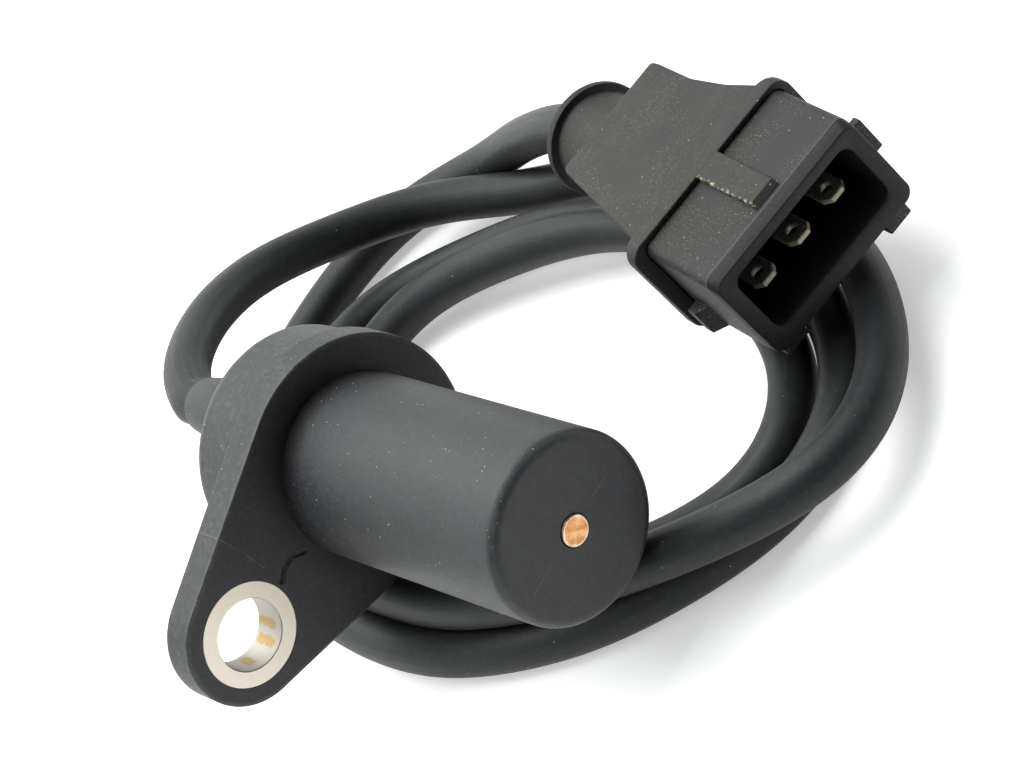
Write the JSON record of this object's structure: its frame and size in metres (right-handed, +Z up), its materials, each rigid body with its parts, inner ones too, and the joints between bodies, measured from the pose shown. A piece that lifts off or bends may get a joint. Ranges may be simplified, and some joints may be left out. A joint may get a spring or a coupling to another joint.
{
  "type": "rotation sensor",
  "caption": "Inductive rotation sensor: round barrel with an exposed pole pin, one bolted ear, side cable outlet and a loose cable coil ending in a flat multi way connector",
  "frame": {"origin": "centre of the pole pin's flat end, on the barrel axis, which faces the toothed wheel", "axes": "+X out of the barrel's tip toward the toothed wheel, the mounting ear toward -Y, +Z up from the surface that the coil lies on"},
  "size_m": [0.0943, 0.0754, 0.0316],
  "materials": {
    "head_nylon": "satin, glass filled, fine grain",
    "bush_steel": "plated, pale yellow traces",
    "pin_plate": "copper coloured plating",
    "magnet_grey": "sintered",
    "yoke_iron": "turned soft iron",
    "bobbin_plastic": "moulded",
    "winding_copper": "enamelled copper wire",
    "terminal_tin": "tinned, with yellow edges",
    "core_insulation": "smooth insulation",
    "cable_jacket": "smooth satin jacket",
    "hood_plastic": "matte, fine grain, dusty",
    "shroud_plastic": "matte, fine grain, dusty",
    "grommet_rubber": "matte"
  },
  "bodies": {
    "root": {"sensor_housing": "head_nylon", "mounting_bush": "bush_steel", "pole_pin": "pin_plate", "magnet": "magnet_grey", "back_yoke": "yoke_iron", "coil_bobbin": "bobbin_plastic", "coil_winding": "winding_copper", "terminal_post_a": "terminal_tin", "terminal_post_b": "terminal_tin", "splice_a": "terminal_tin", "splice_b": "terminal_tin", "head_core_a": "core_insulation", "head_core_b": "core_insulation", "cable": "cable_jacket", "connector_hood": "hood_plastic", "connector_shroud": "shroud_plastic", "cable_grommet": "grommet_rubber", "terminal_tab_a": "terminal_tin", "terminal_tab_b": "terminal_tin", "terminal_tab_c": "terminal_tin", "plug_core_a": "core_insulation", "plug_core_b": "core_insulation", "plug_core_c": "core_insulation"}
  },
  "joints": []
}
